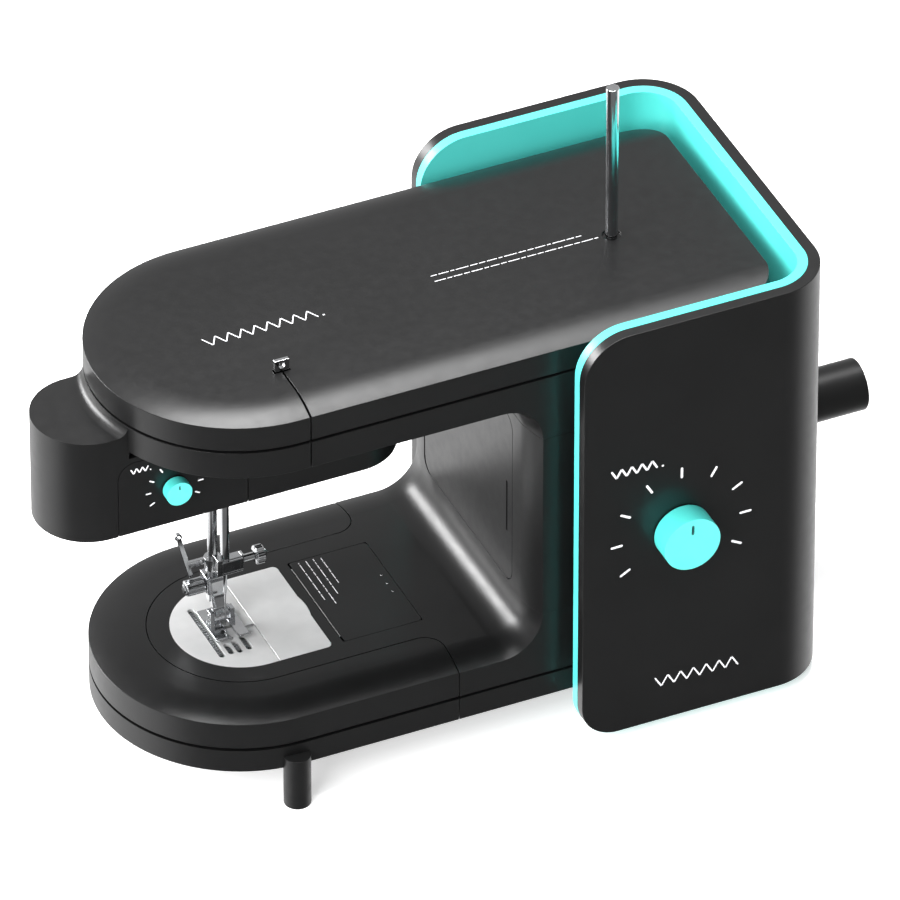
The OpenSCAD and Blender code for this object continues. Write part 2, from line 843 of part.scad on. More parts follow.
// Needle: a thick shank and a thin pointed blade.
module needle() {
  color("#d8dadc") seat() rotate_needle() {
    polygon([[0, 1.2], [0.5, 3.4], [0.5, 21], [1, 24], [1, 36], [0, 36]]);
  }
}

// Revolves a profile round the needle's axis.
module rotate_needle() {
  translate([needle_x, 0, 0]) rotate_extrude($fn = 32) children();
}

// Presser bar.
module presser_bar() {
  color("#c8ccd0") seat() rod_z([needle_x, presser_y, 14], presser_bar_r, 142);
}

// Block on the presser bar that the lifter raises and the spring pushes down.
module presser_block() {
  color("#9ca0a5") seat() difference() {
    block([-13, 11, 112.6], [-0.8, 18.5, 121]);
    rod_z([needle_x, presser_y, 112], presser_bar_r, 10);
  }
}

// Spring of the presser bar, as a plain sleeve with its true outside and bore.
module presser_spring() {
  color("#a8abae") seat() difference() {
    rod_z([needle_x, presser_y, 121.2], 4.1, 18.8);
    rod_z([needle_x, presser_y, 121], 3, 20);
  }
}

// Holder of the presser foot: clamp on the bar, front plate and fork.
module foot_holder() {
  color("#d4d6d8") seat() difference() {
    union() {
      block([-13.4, 10.6, 10], [-3.2, 20.2, 24]);
      block([-12, 8.6, 5.4], [-4.6, 12.4, 16]);
      block([-12, 3.2, 4.4], [-4.6, 12.4, 7.4]);
    }
    rod_z([needle_x, presser_y, 14], presser_bar_r, 12);
    rod_x([-13, 5.4, 5.4], 1.1, 10);
    rod_x([-18, presser_y, 18], 1.4, 7.2);
    block([-10.2, 1, 3], [-6.4, 8, 8]);
  }
}

// Thumb screw of the foot holder.
module foot_screw() {
  color("#bfc1c3") seat() {
    rod_x([-13.4, presser_y, 18], 1.4, 2.2);
    rod_x([-23.4, presser_y, 18], 4.2, 10);
    rod_x([-24.4, presser_y, 18], 2.6, 1);
  }
}

// Presser foot: sole with raised toes, lugs and its cross pin.
module presser_foot() {
  color("#dfe0e2") seat() difference() {
    union() {
      block([-18.2, -8, sole_z], [-0.4, 15, sole_z + 1.8]);
      for (x = [-18.2, -6.4]) toe(x, 6);
      block([-15, 3.4, sole_z + 1], [-12.4, 8, 8]);
      block([-4.2, 3.4, sole_z + 1], [-1.6, 8, 8]);
      rod_x([-15, 5.4, 5.4], 1, 13.4);
      rod_x([-0.6, -6, sole_z + 0.9], 0.9, 5);
    }
    slab(-1, 4) translate([needle_x, 0]) rotate(90) slot_plan(0, -3.2, 3.2, 1.6);
    block([-15.4, 9, sole_z + 1], [-3, 16, 3]);
  }
}

// One toe of the foot, turned up at the front.
module toe(x, w) {
  translate([x, -8, sole_z]) rotate([90, 0, 90]) linear_extrude(w)
    polygon([[0, 0], [0, 1.8], [-3.4, 2.2], [-6.2, 3.7], [-6.8, 2.9], [-3.4, 0.6]]);
}

// Lifter lever behind the head: hub, cam lobe and handle.
module lifter_lever() {
  color("#b4b7ba") seat() difference() {
    translate([-4.6, 19, 108]) rotate([90, 0, 90]) linear_extrude(3.8) {
      circle(4);
      rotate(35) translate([0, -1.6]) square([8, 3.2]);
      rotate(-45) translate([0, -2]) square([30, 4]);
      rotate(-45) translate([30, 0]) circle(4.5);
    }
    rod_x([-6, 19, 108], 1.5, 8);
  }
}

// Threader: a collar on the presser bar, a cross rod and an upright lever with a ring end.
module needle_threader() {
  color("#d4d6d8") seat() difference() {
    union() {
      rod_z([needle_x, presser_y, 27], 4.4, 7);
      block([-21, presser_y + 1.4, 29], [needle_x, presser_y + 3.4, 32.4]);
      translate([-21, presser_y + 2.4, 30.6]) rotate([0, -14, 0]) block([-1.2, -1, -7.6], [1.2, 1, 19]);
      translate([-21, presser_y + 2.4, 30.6]) rotate([0, -14, 0]) rod_y([0, -1, 20], 2, 2);
    }
    rod_z([needle_x, presser_y, 26], presser_bar_r, 10);
    translate([-21, presser_y + 2.4, 30.6]) rotate([0, -14, 0]) rod_y([0, -2, 20], 1, 4);
  }
}

// Take-up lever: the eye above the arm, its stem and the foot that reaches towards the crank.
module take_up_lever() {
  color("#d4d6d8") seat() difference() {
    union() {
      block([plate_seam_x - 3.9, -41.7, 159.4], [plate_seam_x + 3.9, -39.3, 191.2]);
      block([plate_seam_x - 3.9, -40, 159.4], [plate_seam_x + 3.9, -25, 162.4]);
    }
    rod_y([plate_seam_x, -43, 188], 1.6, 5);
  }
}

// Lower shaft that drives the hook.
module hook_shaft() {
  color("#b8bcc0") seat() rod_x([19.7, 0, hook_shaft_z], hook_shaft_r, 222);
}

// Timing pulley of the hook shaft.
module hook_pulley() {
  color("#3c3f44") seat() belt_pulley(hook_belt_x, hook_shaft_z, hook_pulley_r, hook_shaft_r);
}

// Pinion on the hook shaft.
module hook_pinion() {
  color("#b98b4a") seat() difference() {
    rod_x([19.7, 0, hook_shaft_z], 4.4, 3.2);
    rod_x([19, 0, hook_shaft_z], hook_shaft_r, 5);
  }
}

// Rotary hook: cup, crown gear below it and its upright shaft.
module rotary_hook() {
  color("#c0c4c8") seat() difference() {
    union() {
      rod_z([hook_x, 0, -16], hook_r, 12);
      rod_z([hook_x, 0, -18.2], 6.2, 2.4);
      rod_z([hook_x, 0, -28.6], 2, 12);
    }
    rod_z([hook_x, 0, -14.6], hook_r - 1.6, 12);
  }
}

// Bobbin case that stands still inside the hook.
module bobbin_case() {
  color("#1f1f22") seat() difference() {
    rod_z([hook_x, 0, -14.3], hook_r - 2, 9.8);
    rod_z([hook_x, 0, -12.9], bobbin_r + 0.8, 10);
  }
}

// Bobbin: hub between two flanges.
module bobbin() {
  color("#e8eef2") seat() difference() {
    union() {
      rod_z([hook_x, 0, -12.6], bobbin_r, 1.2);
      rod_z([hook_x, 0, -12.6], 4.4, 9.6);
      rod_z([hook_x, 0, -4.2], bobbin_r, 1.2);
    }
    rod_z([hook_x, 0, -13], 3, 12);
  }
}

// Feed dog: toothed rows on a carrier with its stem.
module feed_dog() {
  color("#8d9195") seat() {
    block([-21.2, -19.4, -3.5], [-2.8, -7.6, -2.4]);
    block([-21.2, -7.7, -3.5], [-16.8, 18.6, -2.4]);
    block([-21, -4, -22], [-17, 4, -3.4]);
    for (row = feed_rows) block([row[0] - 1.1, row[1], -2.5], [row[0] + 1.1, row[2], -0.9]);
    for (row = feed_rows) for (y = [row[1] + 0.4 : 1.8 : row[2] - 1])
      block([row[0] - 1.1, y, -1], [row[0] + 1.1, y + 0.9, -0.4]);
  }
}

// Motor: can, end cap and shaft boss, bolted to the frame.
module motor() {
  color("#5d6167") seat() {
    rod_x([172, motor_y, motor_z], motor_r, 60);
    rod_x([168, motor_y, motor_z], 9, 4);
    rod_x([232, motor_y, motor_z], 5.9, 8);
    for (s = [-1, 1]) rod_x([232, motor_y, motor_z + s * 14], 3, 4);
  }
}

// Pulley on the motor's shaft.
module motor_pulley() {
  color("#3c3f44") seat() {
    rod_x([240.4, motor_y, motor_z], 2, 9.8);
    translate([0, motor_y, 0]) belt_pulley(motor_belt_x, motor_z, motor_pulley_r, 2);
  }
}

// Outline of a belt round two pulleys of radius ra at the origin and rb at distance d along Y.
// Its straight runs lie a hair inside the common tangents, so that they cross the circles cleanly.
module belt_outline(ra, rb, d) {
  a = acos((ra - rb) / d);
  p = ra - tangent_bite;
  q = rb - tangent_bite;
  circle(ra);
  translate([0, d]) circle(rb);
  polygon([
    [-p * sin(a), p * cos(a)], [p * sin(a), p * cos(a)],
    [q * sin(a), d + q * cos(a)], [-q * sin(a), d + q * cos(a)]
  ]);
}

// One belt loop in the plane X = x, from the pulley at z, leaning by tilt degrees from upright.
module belt(x, z, ra, rb, d, tilt) {
  translate([x + 0.3, 0, z]) rotate([tilt, 0, 0]) rotate([90, 0, 90]) linear_extrude(belt_w - 0.6)
    difference() {
      belt_outline(ra + belt_gap + belt_t, rb + belt_gap + belt_t, d);
      belt_outline(ra + belt_gap, rb + belt_gap, d);
    }
}

// The three belts: drive to arm shaft, drive to hook shaft, motor to drive shaft.
module belts() {
  motor_d = sqrt(motor_y * motor_y + (motor_z - drive_z) * (motor_z - drive_z));
  motor_tilt = atan2(-motor_y, motor_z - drive_z);
  color("#17171a") seat() {
    belt(arm_belt_x, drive_z, timing_r, timing_r, arm_shaft_z - drive_z, 0);
    belt(hook_belt_x, hook_shaft_z, hook_pulley_r, hook_track_r, drive_z - hook_shaft_z, 0);
    belt(motor_belt_x, drive_z, belt_wheel_r, motor_pulley_r, motor_d, motor_tilt);
  }
}

// Control board with its chips, standing on posts behind the column's front wall.
module circuit_board() {
  color("#1f7a4d") seat() {
    block([162, -64, 20], [228, -62.4, 112]);
    for (x = [168, 222]) for (z = [27, 96]) rod_y([x, -73.5, z], 3, 9.5);
    for (z = [34, 60, 86]) block([180, -62.4, z], [200, -59, z + 14]);
  }
}

// Modes knob with its shaft through the shell and the liner.
module modes_knob() {
  color("#3fd9cf") seat() {
    rod_y([modes_x, -shell_y - knob_gap - modes_h, modes_z], modes_d / 2, modes_h);
    rod_y([modes_x, -shell_y - knob_gap - 0.1, modes_z], 3, 22);
  }
}

// Type knob with its shaft into the head.
module type_knob() {
  color("#3fd9cf") seat() {
    rod_y([type_x, -head_r - knob_gap - type_h, type_z], type_d / 2, type_h);
    rod_y([type_x, -head_r - knob_gap - 0.1, type_z], 2, 12);
  }
}

// Pin for the thread spool, with a thinner neck that sits in the arm cover.
module spool_pin() {
  color("#d0d2d4") seat() {
    rod_z([spool_at[0], spool_at[1], spool_z0], spool_d / 2, spool_z1 - spool_z0);
    rod_z([spool_at[0], spool_at[1], cover_roof_z - 1.6], spool_neck_r, spool_z0 - cover_roof_z + 2);
  }
}

// Two-pole power inlet in the shell's right wall.
module power_inlet() {
  y = inlet_at[0];
  z = inlet_at[1];
  color("#151517") seat() difference() {
    union() {
      block([shell_x1 - 18, y - 13.9, z - 9.9], [shell_x1, y + 13.9, z + 9.9]);
      block([shell_x1, y - 16, z - 12], [shell_x1 + 1.6, y + 16, z + 12]);
    }
    block([shell_x1 - 13, y - 9, z - 5], [shell_x1 + 3, y + 9, z + 5]);
  }
}

// Power switch: a rocker in the shell's right wall.
module power_switch() {
  y = switch_at[0];
  z = switch_at[1];
  color("#1a1a1c") seat() {
    translate([shell_x1 - 3, y, z]) rotate([90, 0, 0]) cylinder(r = 4.6, h = 12, center = true);
  }
}

bed_housing();
base_pan();
column_housing();
arm_housing();
arm_cover();
head_housing();
face_plate();
outer_shell();
shell_liner();
shell_spacers();
tray_base();
tray_lid();
tray_feet();
base_feet();
needle_plate();
bobbin_cover();
compartment_door();
column_door();
column_frame();
arm_bracket();
shaft_bushes();
drive_shaft();
handwheel();
belt_wheel();
timing_wheel();
arm_shaft();
arm_pulley();
crank();
connecting_rod();
needle_bar();
needle_bar_clamp();
bar_guide();
needle_clamp();
needle_clamp_screw();
needle();
presser_bar();
presser_block();
presser_spring();
foot_holder();
foot_screw();
presser_foot();
lifter_lever();
needle_threader();
take_up_lever();
hook_shaft();
hook_pulley();
hook_pinion();
rotary_hook();
bobbin_case();
bobbin();
feed_dog();
motor();
motor_pulley();
belts();
circuit_board();
modes_knob();
type_knob();
spool_pin();
power_inlet();
power_switch();
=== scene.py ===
import math

import bmesh
import bpy
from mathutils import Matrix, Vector


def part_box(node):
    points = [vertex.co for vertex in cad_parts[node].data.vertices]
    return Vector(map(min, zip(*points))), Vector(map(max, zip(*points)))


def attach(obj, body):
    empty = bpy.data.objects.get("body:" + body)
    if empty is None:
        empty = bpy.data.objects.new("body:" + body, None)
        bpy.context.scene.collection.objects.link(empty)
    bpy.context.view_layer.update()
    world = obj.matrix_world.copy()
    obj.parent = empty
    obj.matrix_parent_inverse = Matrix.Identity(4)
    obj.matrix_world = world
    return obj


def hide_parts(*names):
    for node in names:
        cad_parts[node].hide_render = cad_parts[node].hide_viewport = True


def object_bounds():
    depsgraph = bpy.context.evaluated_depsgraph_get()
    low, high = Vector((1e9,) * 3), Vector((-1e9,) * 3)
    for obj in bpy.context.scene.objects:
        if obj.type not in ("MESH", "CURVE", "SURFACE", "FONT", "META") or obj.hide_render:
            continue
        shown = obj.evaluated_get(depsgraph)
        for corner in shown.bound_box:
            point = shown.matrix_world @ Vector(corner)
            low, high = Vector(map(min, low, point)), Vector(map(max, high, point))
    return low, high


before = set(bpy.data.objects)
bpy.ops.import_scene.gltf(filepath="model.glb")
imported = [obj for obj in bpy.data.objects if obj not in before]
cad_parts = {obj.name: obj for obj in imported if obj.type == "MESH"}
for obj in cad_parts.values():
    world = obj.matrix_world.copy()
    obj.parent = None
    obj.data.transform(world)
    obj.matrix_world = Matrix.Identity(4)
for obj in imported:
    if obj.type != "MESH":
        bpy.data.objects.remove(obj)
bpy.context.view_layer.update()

# ---------------------------------------------------------------- places
# Points are given in millimetres from the centre of the needle plate, whose
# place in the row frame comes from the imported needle.
ARM_TOP = 184.6
SHELL_FRONT, HEAD_FRONT, COLUMN_FACE = -98, -28.2, 126.2
MODES_DIAL, TYPE_DIAL = (196.5, 65.7), (-46.7, 120.3)
NEEDLE_X, PRESSER_Y = -8.3, 15.7
CLAMP_SCREW_AT, FOOT_SCREW_AT = (0, 0, 40.6), (0, PRESSER_Y, 18)
ALONG_X = (1, 0, 0)
needle_lo, needle_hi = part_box("needle")
plate_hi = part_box("needle_plate")[1]
ORIGIN = Vector(
    ((needle_lo.x + needle_hi.x) / 2 - NEEDLE_X / 1000, (needle_lo.y + needle_hi.y) / 2, plate_hi.z)
)


def P(x, y, z):
    """Point in the row frame, in metres."""
    return ORIGIN + Vector((x, y, z)) / 1000


def mm(v):
    """Millimetres as metres."""
    return v / 1000


# ---------------------------------------------------------------- camera
AZ, EL = math.radians(-24.33), math.radians(37.31)
back = Vector((math.sin(AZ) * math.cos(EL), -math.cos(AZ) * math.cos(EL), math.sin(EL)))
cam_data = bpy.data.cameras.new("camera")
cam = bpy.data.objects.new("camera", cam_data)
bpy.context.scene.collection.objects.link(cam)
cam_data.sensor_width = 36
cam_data.lens = 557
cam_data.clip_start = 0.5
cam_data.clip_end = 40
cam.rotation_mode = "QUATERNION"
cam.rotation_quaternion = (-back).to_track_quat("-Z", "Y")
cam.location = P(116.9, 4.7, 68.9) + back * 6.9628
bpy.context.scene.camera = cam


# ---------------------------------------------------------------- materials
def new_material(name):
    m = bpy.data.materials.new(name)
    m.use_nodes = True
    return m, m.node_tree, m.node_tree.nodes["Principled BSDF"]


def node(tree, kind, **values):
    n = tree.nodes.new(kind)
    for key, value in values.items():
        if key in n.inputs:
            n.inputs[key].default_value = value
        else:
            setattr(n, key, value)
    return n


def ramp(tree, source, lo, hi, a=0.35, b=0.65):
    """Maps a 0-1 noise to lo..hi."""
    r = tree.nodes.new("ShaderNodeMapRange")
    r.inputs["From Min"].default_value = a
    r.inputs["From Max"].default_value = b
    r.inputs["To Min"].default_value = lo
    r.inputs["To Max"].default_value = hi
    tree.links.new(source, r.inputs["Value"])
    return r.outputs["Result"]


def tint(tree, source, dark, light):
    c = tree.nodes.new("ShaderNodeValToRGB")
    c.color_ramp.elements[0].position = 0.3
    c.color_ramp.elements[1].position = 0.7
    c.color_ramp.elements[0].color = (*dark, 1)
    c.color_ramp.elements[1].color = (*light, 1)
    tree.links.new(source, c.inputs["Fac"])
    return c.outputs["Color"]


def moulded(name, dark, light, rough, spread, grain=1500.0, depth=0.12, spec=0.5):
    """Moulded plastic: fine spark-eroded grain, faint flow mottling, uneven gloss."""
    m, t, bsdf = new_material(name)
    where = t.nodes.new("ShaderNodeTexCoord").outputs["Object"]
    broad = node(t, "ShaderNodeTexNoise", Scale=16.0, Detail=3.0, Roughness=0.55)
    mottle = node(t, "ShaderNodeTexNoise", Scale=170.0, Detail=4.0, Roughness=0.6)
    fine = node(t, "ShaderNodeTexNoise", Scale=grain, Detail=2.0, Roughness=0.5)
    for n in (broad, mottle, fine):
        t.links.new(where, n.inputs["Vector"])
    t.links.new(tint(t, broad.outputs["Fac"], dark, light), bsdf.inputs["Base Color"])
    t.links.new(
        ramp(t, mottle.outputs["Fac"], rough - spread, rough + spread), bsdf.inputs["Roughness"]
    )
    bump = node(t, "ShaderNodeBump", Strength=depth, Distance=0.0002)
    t.links.new(fine.outputs["Fac"], bump.inputs["Height"])
    t.links.new(bump.outputs["Normal"], bsdf.inputs["Normal"])
    bsdf.inputs["Specular IOR Level"].default_value = spec
    return m


def metal(
    name, dark, light, rough, spread, stretch=(1, 1, 1), depth=0.06, scale=900.0, share=1.0
):
    """Metal with fine polishing lines along the unstretched axis and uneven gloss."""
    m, t, bsdf = new_material(name)
    where = t.nodes.new("ShaderNodeTexCoord").outputs["Object"]
    size = t.nodes.new("ShaderNodeMapping")
    size.inputs["Scale"].default_value = stretch
    t.links.new(where, size.inputs["Vector"])
    lines = node(t, "ShaderNodeTexNoise", Scale=scale, Detail=3.0, Roughness=0.6)
    t.links.new(size.outputs["Vector"], lines.inputs["Vector"])
    broad = node(t, "ShaderNodeTexNoise", Scale=90.0, Detail=3.0, Roughness=0.5)
    t.links.new(where, broad.inputs["Vector"])
    t.links.new(tint(t, broad.outputs["Fac"], dark, light), bsdf.inputs["Base Color"])
    t.links.new(
        ramp(t, lines.outputs["Fac"], rough - spread, rough + spread), bsdf.inputs["Roughness"]
    )
    bump = node(t, "ShaderNodeBump", Strength=depth, Distance=0.0002)
    t.links.new(lines.outputs["Fac"], bump.inputs["Height"])
    t.links.new(bump.outputs["Normal"], bsdf.inputs["Normal"])
    bsdf.inputs["Metallic"].default_value = share
    return m


def grey(a):
    """Grey with a trace of blue."""
    return (a, a, a * 1.03)


M = {
    "black_top": moulded("black_top", grey(0.0060), grey(0.0075), 0.31, 0.025, spec=0.5),
    "black_side": moulded("black_side", grey(0.0055), grey(0.0070), 0.33, 0.025, spec=0.5),
    "turquoise": moulded(
        "turquoise", (0.090, 0.70, 0.64), (0.105, 0.73, 0.67), 0.34, 0.04, depth=0.08
    ),
    "knob": moulded("knob", (0.082, 0.66, 0.60), (0.095, 0.70, 0.64), 0.32, 0.04, depth=0.08),
    "plate": metal(
        "plate", (0.80, 0.80, 0.80), (0.86, 0.86, 0.86), 0.45, 0.05, stretch=(1, 14, 1), share=0.5
    ),
    "chrome": metal(
        "chrome", (0.62, 0.63, 0.65), (0.74, 0.75, 0.76), 0.12, 0.05, stretch=(1, 1, 0.1)
    ),
    "steel": metal("steel", (0.36, 0.37, 0.38), (0.47, 0.475, 0.48), 0.3, 0.07),
    "frame": metal("frame", (0.30, 0.31, 0.32), (0.42, 0.43, 0.44), 0.5, 0.1, depth=0.25),
    "brass": metal("brass", (0.62, 0.42, 0.16), (0.72, 0.52, 0.24), 0.3, 0.08),
    "pulley": moulded("pulley", grey(0.02), grey(0.03), 0.5, 0.06),
    "motor": metal("motor", (0.25, 0.25, 0.26), (0.33, 0.33, 0.34), 0.35, 0.08),
    "rubber": moulded("rubber", grey(0.010), grey(0.016), 0.8, 0.06, depth=0.4, spec=0.3),
    "foot": moulded("foot", grey(0.0065), grey(0.009), 0.46, 0.05, grain=1100, depth=0.2, spec=0.4),
    "board": moulded("board", (0.01, 0.12, 0.05), (0.015, 0.16, 0.07), 0.4, 0.05),
    "case": moulded("case", grey(0.02), grey(0.03), 0.4, 0.05),
    "clear": moulded("clear", (0.5, 0.52, 0.55), (0.6, 0.62, 0.65), 0.15, 0.03),
    "inlet": moulded("inlet", grey(0.010), grey(0.014), 0.5, 0.05, depth=0.2),
    "ink": moulded("ink", grey(0.74), grey(0.86), 0.55, 0.05, depth=0.05),
    # teal: the knob turquoise darkened, painted shade for the knobs' index slots
    "teal": moulded("teal", (0.004, 0.10, 0.10), (0.006, 0.13, 0.13), 0.5, 0.05),
}


# ---------------------------------------------------------------- mesh tools
def link(name, bm, material, body, bevel=0.0, segments=2, angle=30.0):
    """Makes an object from bm (row frame, metres), smooth with crisp bevelled creases."""
    bmesh.ops.recalc_face_normals(bm, faces=bm.faces)
    for f in bm.faces:
        f.smooth = True
    data = bpy.data.meshes.new(name)
    bm.to_mesh(data)
    bm.free()
    o = bpy.data.objects.new(name, data)
    bpy.context.scene.collection.objects.link(o)
    data.materials.append(M[material])
    if bevel:
        add_bevel(o, bevel, segments, angle)
    else:
        data.set_sharp_from_angle(angle=math.radians(angle))
    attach(o, body)
    return o


def add_bevel(o, width, segments=2, angle=30.0):
    b = o.modifiers.new("edge", "BEVEL")
    b.width = mm(width)
    b.segments = segments
    b.limit_method = "ANGLE"
    b.angle_limit = math.radians(angle)
    b.harden_normals = True
    b.use_clamp_overlap = True


def prism(bm, outline, depth, to_world):
    """Closed outline [(u, v)] in mm, carried along w from 0 to depth."""
    lo = [bm.verts.new(to_world(u, v, 0.0)) for u, v in outline]
    hi = [bm.verts.new(to_world(u, v, depth)) for u, v in outline]
    bm.faces.new(lo)
    bm.faces.new(hi)
    n = len(outline)
    for i in range(n):
        bm.faces.new((lo[i], lo[(i + 1) % n], hi[(i + 1) % n], hi[i]))


def lathe(bm, profile, at, axis, seg=48):
    """Turns profile [(along, radius)] in mm round the axis through at."""
    a = Vector(axis).normalized()
    u = a.orthogonal().normalized()
    v = a.cross(u)
    rings = []
    for along, r in profile:
        c = P(*at) + a * mm(along)
        if r < 1e-6:
            rings.append([bm.verts.new(c)])
            continue
        rings.append(
            [
                bm.verts.new(c + (u * math.cos(t) + v * math.sin(t)) * mm(r))
                for t in (2 * math.pi * i / seg for i in range(seg))
            ]
        )
    for p, q in zip(rings, rings[1:]):
        for i in range(seg):
            j = (i + 1) % seg
            a0, a1 = p[i % len(p)], p[j % len(p)]
            b0, b1 = q[i % len(q)], q[j % len(q)]
            if len(p) == 1:
                bm.faces.new((a0, b1, b0))
            elif len(q) == 1:
                bm.faces.new((a0, a1, b0))
            else:
                bm.faces.new((a0, a1, b1, b0))
    for ring, open_end in ((rings[0], len(rings[0]) > 1), (rings[-1], len(rings[-1]) > 1)):
        if open_end:
            bm.faces.new(ring)


def capsule(length, width, n=8):
    """Outline of a rounded bar along u, centred, in mm."""
    r = width / 2
    h = length / 2 - r
    pts = [
        (h + r * math.cos(t), r * math.sin(t))
        for t in (-math.pi / 2 + math.pi * i / n for i in range(n + 1))
    ]
    pts += [
        (-h + r * math.cos(t), r * math.sin(t))
        for t in (math.pi / 2 + math.pi * i / n for i in range(n + 1))
    ]
    return pts


def mark(bm, cu, cv, length, width, turn, to_world, depth):
    """One printed or inlaid bar on a surface: centre, size in mm, turn in degrees."""
    c, s = math.cos(math.radians(turn)), math.sin(math.radians(turn))
    pts = [(cu + c * u - s * v, cv + s * u + c * v) for u, v in capsule(length, width)]
    prism(bm, pts, depth, to_world)


def on_top(z):
    """Surface that faces up: u along +X, v along +Y."""
    return lambda u, v, w: P(u, v, z + w)


def on_front(y):
    """Surface that faces the front: u along +X, v along +Z."""
    return lambda u, v, w: P(u, y - w, v)


def across_bed(u, v, w):
    """The bed's top: u along +Y, v along +X."""
    return P(v, u, w)


def on_left(x):
    """Surface that faces -X: u along +Y, v along +Z."""
    return lambda u, v, w: P(x - w, u, v)


# ---------------------------------------------------------------- CAD nodes
for name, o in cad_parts.items():
    for i, m in enumerate(o.data.materials):
        key = m.name.split(".")[0]
        if key in M:
            o.data.materials[i] = M[key]
    if "custom_normal" in o.data.attributes:
        o.data.attributes.remove(o.data.attributes["custom_normal"])
    for p in o.data.polygons:
        p.use_smooth = True
    w = o.modifiers.new("weld", "WELD")
    w.merge_threshold = 1e-6
    if name != "bed_housing":
        d = o.modifiers.new("flat", "DECIMATE")
        d.decimate_type = "DISSOLVE"
        d.angle_limit = math.radians(0.4)
    add_bevel(o, 0.35, 2, 28)


# ---------------------------------------------------------------- pieces
def box(bm, lo, hi):
    """Block between two corners in mm."""
    outline = [(lo[0], lo[1]), (hi[0], lo[1]), (hi[0], hi[1]), (lo[0], hi[1])]
    prism(bm, outline, hi[2] - lo[2], on_top(lo[2]))


def printed(name, body, marks, to_world, lift=0.05):
    """White print: marks [(u, v, length, width, turn)] on a surface."""
    bm = bmesh.new()
    for u, v, length, width, turn in marks:
        mark(bm, u, v, length, width, turn, to_world, lift)
    return link(name, bm, "ink", body, angle=50)


def chrome(name, bm, body, stands_for=None, **edges):
    """Chrome piece in its slot, in place of a CAD node where one is named."""
    o = link(name, bm, "chrome", body, **edges)
    if stands_for:
        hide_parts(stands_for)


def dial(u, v, radius, length, width):
    """Nine ticks round a dial, 30 degrees apart."""
    return [
        (u + radius * math.cos(math.radians(a)), v + radius * math.sin(math.radians(a)), length,
         width, a)
        for a in range(210, -31, -30)
    ]


def zigzag(u0, u1, v, height, count, width):
    """A row of slanted stitches that stands in for a word."""
    step = (u1 - u0) / count
    slant = math.degrees(math.atan2(height, step))
    length = math.hypot(step, height)
    return [
        (u0 + step * (i + 0.5), v, length, width, slant if i % 2 else -slant) for i in range(count)
    ]


def dashes(u0, u1, v, width, pattern):
    """A line of running stitches that stands in for small print."""
    marks, u, i = [], u0, 0
    while u < u1:
        length = min(pattern[i % len(pattern)], u1 - u)
        if length > width * 1.2:
            marks.append((u + length / 2, v, length, width, 0))
        u += length + width * 1.6
        i += 1
    return marks


printed(
    "stitch_mark_arm", "root",
    zigzag(-20, 40, -5, 6.5, 17, 0.6) + [(43, -7.8, 1.1, 1.0, 0)], on_top(ARM_TOP),
)
printed(
    "small_print_arm", "root",
    dashes(104, 186, -0.6, 0.5, (3.4, 5.6, 2.2, 7.0, 4.1))
    + dashes(104, 193, -5.4, 0.5, (6.2, 2.6, 4.8, 3.2)),
    on_top(ARM_TOP),
)
printed("modes_scale", "root", dial(*MODES_DIAL, 35.3, 6.6, 1.3), on_front(SHELL_FRONT))
printed(
    "modes_label", "root", zigzag(158, 183, 111, 5, 9, 1.1) + [(186, 108.8, 1.3, 1.2, 0)],
    on_front(SHELL_FRONT),
)
printed("stitch_mark_shell", "root", zigzag(183, 229, -27, 6, 13, 0.8), on_front(SHELL_FRONT))
printed("type_scale", "root", dial(*TYPE_DIAL, 14, 3, 0.8), on_front(HEAD_FRONT))
printed(
    "type_label", "root", zigzag(-70, -60.6, 136.5, 3, 6, 0.7) + [(-59.4, 135.2, 0.8, 0.75, 0)],
    on_front(HEAD_FRONT),
)
printed(
    "small_print_door", "compartment_door",
    dashes(0, 33, 46, 0.45, (5, 2.4, 6.4)) + dashes(-5, 33, 50, 0.45, (2.2, 6.8, 3.4))
    + dashes(2, 33, 54, 0.45, (7.2, 3, 2.2)) + dashes(10, 33, 58, 0.45, (3, 5.2))
    + [(y, 80, 1.3, 1.25, 0) for y in (7, -0.2, -7.4)],
    across_bed,
)
printed(
    "small_print_column", "column_door",
    dashes(12, 53, 105, 0.5, (5.2, 2.6, 7.0)) + dashes(8, 53, 98, 0.5, (2.4, 6.4, 3.8))
    + dashes(20, 53, 91, 0.5, (6.6, 3.2)) + dashes(14, 53, 84, 0.5, (3, 5.4, 2.4))
    + dashes(26, 53, 77, 0.5, (5.8, 2.8)),
    on_left(COLUMN_FACE),
)


def index_slot_shade(name, u, v, length, width, y, body):
    """Dark bar painted on a knob's face at y: painted shade of its upright index slot."""
    bm = bmesh.new()
    mark(bm, u, v, length, width, 90, on_front(y), 0.05)
    link(name, bm, "teal", body, angle=50)


# Index slots on the two knobs, drawn as dark bars of painted shade.
index_slot_shade("modes_index", MODES_DIAL[0], 74.6, 5.8, 1.5, -111.65, "modes_knob")
index_slot_shade("type_index", TYPE_DIAL[0], 124.1, 2.6, 0.8, -34.75, "type_knob")

# Needle clamp: body with a slit, front plate and a stepped lug.
bm = bmesh.new()
box(bm, (-13.4, -3.1, 35.2), (-10.3, 3.6, 45))
box(bm, (-10.5, -2.4, 36.2), (0.2, 2.6, 44))
box(bm, (-10.9, -3.6, 36.8), (0.4, -2.3, 43.6))
box(bm, (-10.9, -3.45, 35.6), (0.2, -2.5, 37.0))
box(bm, (0.0, -2.0, 38.6), (1.4, 2.4, 44.2))
chrome("needle_clamp_body", bm, "needle_drive", "needle_clamp", bevel=0.35, segments=3)


